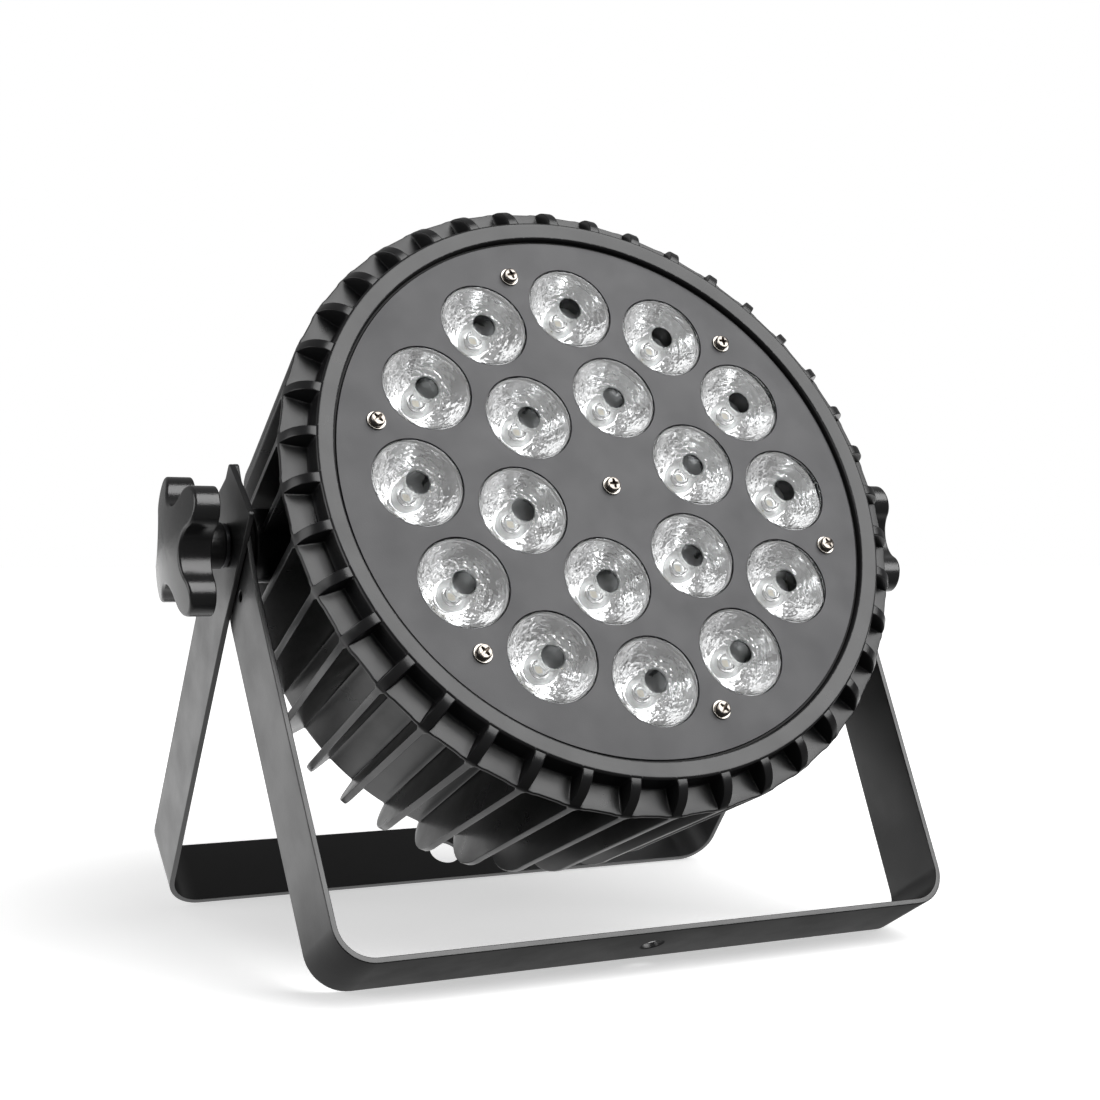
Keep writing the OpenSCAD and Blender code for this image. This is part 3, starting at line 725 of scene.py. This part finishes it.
def lenses():
    """A collimator for each lens node, each with pebbles of its own."""
    for seed, (node, spot) in enumerate(lens_places()):
        piece = new_object(node.replace("lens", "collimator"), lens_mesh(seed))
        piece.matrix_world = HEAD @ Matrix.Scale(1 / MM, 4) @ Matrix.Translation(spot * MM)
        hand_over(piece, "head", node)


def pan_head(bm, r, head_r, head_h, length, at, turn):
    """A pan head with a tapered cross recess, and its shank."""
    start = len(bm.verts)
    recess, arm, taper, steps = 0.8 * head_h, 0.7 * head_r, 0.5, 48
    cross = []
    for quarter in range(4):
        turned = Matrix.Rotation(math.pi / 2 * quarter, 2) * arm
        cross += [turned @ Vector(p) for p in ((1, -0.21), (1, 0.21), (0.34, 0.34))]
    mouth = ring(bm, [(p.x, p.y, head_h) for p in cross])
    floor = ring(bm, [(p.x * taper, p.y * taper, head_h - recess) for p in cross])
    strip(bm, mouth, floor)
    bm.faces.new(floor)

    profile = [(head_r * share, head_h * z) for share, z in (
        (0.76, 0.985), (0.88, 0.93), (0.95, 0.8), (0.99, 0.6), (1.0, 0.4), (1.0, 0.08), (0.97, 0.0))]
    profile += [(r + 0.1 * head_r, 0), (r, -0.1 * head_h), (r, -length + 0.4 * r), (0.6 * r, -length)]
    rings = [ring(bm, [(p.x, p.y, z) for p in circle(radius, steps)]) for radius, z in profile]
    skin(bm, rings)
    bm.faces.new(rings[-1])
    fill(bm, loop_edges(bm, mouth) + loop_edges(bm, rings[0]))
    place(bm, start, Matrix.Translation(at) @ Matrix.Rotation(turn, 4, "Z"))


def face_fasteners():
    """The face's screws, each turned its own way, on their washers."""
    turn = random.Random(3)
    lift = Vector((0, 0, 0.65))
    bm = bmesh.new()
    for p in screw_places():
        pan_head(bm, SCREW_R, head_r=2.75, head_h=2.0, length=12, at=p + lift,
                 turn=turn.uniform(0, math.tau))
    finish_piece("face_screw_set", bm, HEAD, "head", "face_screws", NICKEL)
    bm = bmesh.new()
    for p in screw_places():
        start = len(bm.verts)
        washer(bm, SCREW_R + 0.1, 3.5, 0.02, 0.62, 0.18, 48)
        place(bm, start, Matrix.Translation(p))
    finish_piece("face_washer_set", bm, HEAD, "head", "face_washers", RING)


def emitters():
    """A square base with four dies under each lens."""
    base, die, pitch = 4.6, 1.25, 1.6
    bm = bmesh.new()
    for _, p in lens_places():
        start = len(bm.verts)
        slab(bm, rectangle(base, base, 0.4), [], BOARD_TOP + 0.05, BOARD_TOP + 1.0, 0.12)
        for centre in corners(pitch, pitch):
            outline = rectangle(die, die, 0.1, centre, 2)
            slab(bm, outline, [], BOARD_TOP + 0.9, BOARD_TOP + 1.15, 0.05)
        place(bm, start, Matrix.Translation(p))
    finish_piece("emitter_set", bm, HEAD, "head", "led_emitters", PHOSPHOR)


# ------------------------------------------------------------------ pivot hardware
def knob_outline(turned):
    """Four broad lobes joined by hollows that run smoothly into them. Angles in degrees."""
    steps = 12
    step = 360 / LOBES
    half = math.radians(step / 2)
    lobe_at = KNOB_R - LOBE_R
    spare = LOBE_R - HOLLOW_DEEP
    hollow_at = (lobe_at ** 2 - spare ** 2) / (2 * (spare + lobe_at * math.cos(half)))
    hollow_r = hollow_at - HOLLOW_DEEP
    meet = math.degrees(math.asin(lobe_at * math.sin(half) / (LOBE_R + hollow_r)))
    out = []
    for k in range(LOBES):
        middle = turned + step * (k + 0.5)
        centre = polar(lobe_at, middle).to_2d()
        sweep = meet + step / 2
        out += arc(centre, LOBE_R, middle - sweep, middle + sweep, 2 * steps)
        hollow = middle + step / 2
        centre = polar(hollow_at, hollow).to_2d()
        out += arc(centre, hollow_r, hollow + 180 + meet, hollow + 180 - meet, 2 * steps)[1:-1]
    return [Vector(p) for p in out]


def knob(side, turned):
    """A cross grip: a neck, four lobes with soft edges and a shallow domed face."""
    soft, low_soft = 1.0, 0.5
    outline = knob_outline(turned)

    def domed(loop, z):
        return [p.to_3d() + Vector((0, 0, z + DOME_H * (1 - (p.length / KNOB_R) ** 2))) for p in loop]

    rows = []
    for d, drop in reversed(rounding(low_soft, 4)):
        rows.append([(p.x, p.y, STAR_LOW + drop) for p in inset(outline, d)])
    for d, drop in rounding(soft, 6):
        rows.append(domed(inset(outline, d), STAR_HIGH - drop))
    for share in (0.86, 0.7, 0.52, 0.34, 0.17):
        rows.append(domed([p * share for p in inset(outline, soft)], STAR_HIGH))
    rows.append([(0, 0, STAR_HIGH + DOME_H)])

    stem = []
    for r, z in ((NECK_R + 1.4, STAR_LOW - 0.02), (NECK_R + 0.4, STAR_LOW - 0.4),
                 (NECK_R, STAR_LOW - 1.4), (NECK_R, 0.4), (NECK_R - 0.4, 0), (STUD_R + 0.6, 0),
                 (STUD_R + 0.05, 0.5), (STUD_R + 0.05, KNOB_BORE)):
        stem.append([(p.normalized() * r).to_3d() + Vector((0, 0, z)) for p in outline])
    stem.append([(0, 0, KNOB_BORE)])

    bm = bmesh.new()
    star = [ring(bm, row) for row in rows]
    skin(bm, star)
    skin(bm, [star[0]] + [ring(bm, row) for row in stem])
    place(bm, 0, Matrix.Translation((0, 0, KNOB_X)))
    node = f"knob_{side_word(side)}"
    finish_piece(f"star_{node}", bm, side_frame(side), node, node, KNOB, sharp=50)


def stud(side):
    """The pivot stud, with its thread drawn as rings."""
    profile = [(0, STUD_START), (STUD_R - 0.4, STUD_START), (STUD_R, STUD_START + 0.4),
               (STUD_R, THREAD_START - 1)]
    for k in range(THREAD_TURNS):
        z = THREAD_START + THREAD_PITCH * k
        profile += [(STUD_R - 0.45, z), (STUD_R, z + 0.45), (STUD_R, z + 0.7)]
    profile += [(STUD_R - 0.5, STUD_END), (0, STUD_END)]
    bm = bmesh.new()
    lathe(bm, profile, 48)
    word = side_word(side)
    finish_piece(f"threaded_stud_{word}", bm, side_frame(side), "head", f"pivot_stud_{word}",
                 ZINC)


def pivot_disc(side, name, node, body, outer, span, look):
    """A flat ring on the stud, between two heights."""
    bm = bmesh.new()
    washer(bm, STUD_R + 0.1, outer, *span, 0.3, 72)
    word = side_word(side)
    finish_piece(f"{name}_{word}", bm, side_frame(side), body, f"{node}_{word}", look)


# ------------------------------------------------------------------ pieces refined from CAD
def refined(node, body, slot, look, width, sharp=30):
    """A CAD solid's mesh, welded, its flat faces merged, and its edges rounded."""
    bm = bmesh.new()
    bm.from_mesh(frame["nodes"][node].data)
    bmesh.ops.remove_doubles(bm, verts=bm.verts, dist=1e-6)
    bmesh.ops.dissolve_limit(bm, angle_limit=math.radians(0.6), verts=bm.verts, edges=bm.edges)
    piece = new_object(f"{node}_refined", smooth_mesh(node, bm, sharp, look, scale=1))
    soft = piece.modifiers.new("edges", "BEVEL")
    soft.width = width * MM
    soft.segments = 2
    soft.limit_method = "ANGLE"
    soft.angle_limit = math.radians(sharp)
    soft.use_clamp_overlap = True
    soft.harden_normals = True
    hand_over(piece, body, node)


# ------------------------------------------------------------------ stage
def by_ray(made, seen, reflected, gleam, output):
    """Gives camera rays one shader and the lamp's reflections another. Rays that pass a lens see
    a share of the first."""
    path = add_node(made, "ShaderNodeLightPath")
    clear = add_node(made, "ShaderNodeMath", operation="MULTIPLY_ADD")
    clear.inputs[1].default_value = gleam
    link(made, path.outputs["Is Transmission Ray"], clear.inputs[0])
    link(made, path.outputs["Is Camera Ray"], clear.inputs[2])
    either = add_node(made, "ShaderNodeMixShader")
    link(made, clear.outputs["Value"], either.inputs["Fac"])
    link(made, reflected, either.inputs[1])
    link(made, seen, either.inputs[2])
    link(made, either.outputs["Shader"], made.node_tree.nodes[output].inputs["Surface"])


def towards_back(made, vector):
    """How far back a place lies, as the Y of its vector."""
    split = add_node(made, "ShaderNodeSeparateXYZ")
    link(made, vector, split.inputs["Vector"])
    return split.outputs["Y"]


def floor():
    """Pale floor that fades to white, and that mirrors as dark in front of the lamp."""
    bm = bmesh.new()
    bm.faces.new(ring(bm, [p.to_3d() for p in corners(FLOOR_SIZE, FLOOR_SIZE)]))
    mesh = bpy.data.meshes.new("studio_floor")
    bm.to_mesh(mesh)
    bm.free()
    ground = new_object("studio_floor", mesh)
    ground.location.z = -0.0004

    white = material("studio_white", (0.86, 0.86, 0.86), 0.9, Emission_Color=(1, 1, 1, 1))
    vector = object_place(white)
    far = add_node(white, "ShaderNodeVectorMath", operation="LENGTH")
    link(white, vector, far.inputs[0])
    feed(white, spread(white, far.outputs["Value"], 0.1, 0.5, 0.5, 1.0), "Emission Strength")
    feed(white, ramp(white, noise(white, vector, 2), (0.3, 0.85), (0.7, 0.87)), "Base Color")
    bounce = add_node(white, "ShaderNodeEmission")
    strength = spread(white, towards_back(white, vector), -0.1, 0.1, 0.1, 1.3)
    link(white, strength, bounce.inputs["Strength"])
    shader = white.node_tree.nodes["Principled BSDF"]
    by_ray(white, shader.outputs["BSDF"], bounce.outputs["Emission"], FLOOR_GLEAM, "Material Output")
    mesh.materials.append(white)


def backdrop():
    """White to the camera, and to the lamp a grey room that is lighter at the back."""
    world = bpy.data.worlds.new("studio")
    bpy.context.scene.world = world
    world.use_nodes = True
    seen = world.node_tree.nodes["Background"]
    lit = add_node(world, "ShaderNodeBackground")
    for shader in (seen, lit):
        shader.inputs["Color"].default_value = (1, 1, 1, 1)
    coords = add_node(world, "ShaderNodeTexCoord")
    strength = spread(world, towards_back(world, coords.outputs["Generated"]), -0.3, 0.9, 0.07, 0.3)
    link(world, strength, lit.inputs["Strength"])
    by_ray(world, seen.outputs["Background"], lit.outputs["Background"], WALL_GLEAM, "World Output")


def softbox(name, at, size, power):
    """A square area light aimed at the lamp's middle."""
    data = bpy.data.lights.new(name, "AREA")
    data.shape = "RECTANGLE"
    data.size = data.size_y = size
    data.energy = power
    lamp = new_object(name, data)
    lamp.location = at
    lamp.rotation_euler = (LAMP_MIDDLE - Vector(at)).to_track_quat("-Z", "Y").to_euler()


def camera():
    """About level with the pivot, to the left of the beam."""
    data = bpy.data.cameras.new("camera")
    data.sensor_width = 36
    data.lens = 57.86
    data.clip_start = 0.05
    eye = new_object("camera", data)
    heading, pitch, roll = math.radians(27.16), math.radians(-0.58), math.radians(0.49)
    ahead = Vector((math.sin(heading) * math.cos(pitch), math.cos(heading) * math.cos(pitch),
                    math.sin(pitch)))
    level = ahead.cross(Vector((0, 0, 1))).normalized()
    upright = level.cross(ahead)
    right = level * math.cos(roll) + upright * math.sin(roll)
    up = upright * math.cos(roll) - level * math.sin(roll)
    turn = Matrix((right, up, -ahead)).transposed().to_4x4()
    eye.matrix_world = Matrix.Translation(PIVOT + EYE_FROM_PIVOT) @ turn
    bpy.context.scene.camera = eye


# ------------------------------------------------------------------ build
bpy.context.scene.view_settings.view_transform = "Standard"
camera()
floor()
backdrop()
softbox("top_softbox", (0.47, -0.76, 1.02), 1.2, 19)
softbox("side_softbox", (-1.3, -0.1, 0.5), 0.9, 5)

yoke("front_yoke", "front_bar_bolt", 156.6, 126, 118.6, bar_hole=4.4, pin_holes=[(20, 1.9)])
yoke("rear_yoke", "rear_bar_clamp", 168, 128.3, 125.3, bar_hole=6.5, pin_holes=[])
housing()
face_plate()
face_gasket()
lenses()
face_fasteners()
emitters()
for side, turned in ((-1, -7), (1, -16)):
    knob(side, turned)
    stud(side)
    pivot_disc(side, "rubber_disc", "friction_pad", "head", PAD_R, PAD_SPAN, RUBBER)
    pivot_disc(side, "plain_washer", "clamp_washer", f"washer_{side_word(side)}", WASHER_R,
               WASHER_SPAN, DARK_ZINC)

# node, body, slot, look and width of the edges' rounding
REFINED = [
    ("lens_carrier", "head", "black_plastic", BLACK, 0.2),
    ("led_board", "head", "board_metal", MASK, 0.15),
    ("rear_cover", "head", "plate_paint", REAR, 0.3),
    ("rear_cover_screws", "head", "screw_steel", NICKEL, 0.1),
    ("socket_screws", "head", "screw_steel", NICKEL, 0.08),
    ("inner_screws", "head", "screw_steel", NICKEL, 0.08),
    ("driver_board", "head", "circuit_board", GREEN, 0.15),
    ("display_board", "head", "circuit_board", GREEN, 0.15),
    ("power_supply", "head", "supply_metal", TIN, 0.5),
    ("display_window", "head", "window_plastic", SMOKE, 0.35),
    ("signal_in", "head", "black_plastic", BLACK, 0.3),
    ("signal_out", "head", "black_plastic", BLACK, 0.3),
    ("power_in", "head", "black_plastic", BLACK, 0.4),
    ("power_out", "head", "black_plastic", BLACK, 0.4),
    ("fuse_holder", "head", "black_plastic", BLACK, 0.3),
    ("safety_eye", "head", "plate_paint", REAR, 0.4),
    ("signal_latch", "latch", "screw_steel", ZINC, 0.4),
    ("fuse_cap", "fuse_cap", "black_plastic", BLACK, 0.3),
]
REFINED += [(f"menu_button_{k}", f"button_{k}", "button_plastic", BUTTON, 0.4) for k in range(1, 5)]
for row in REFINED:
    refined(*row)
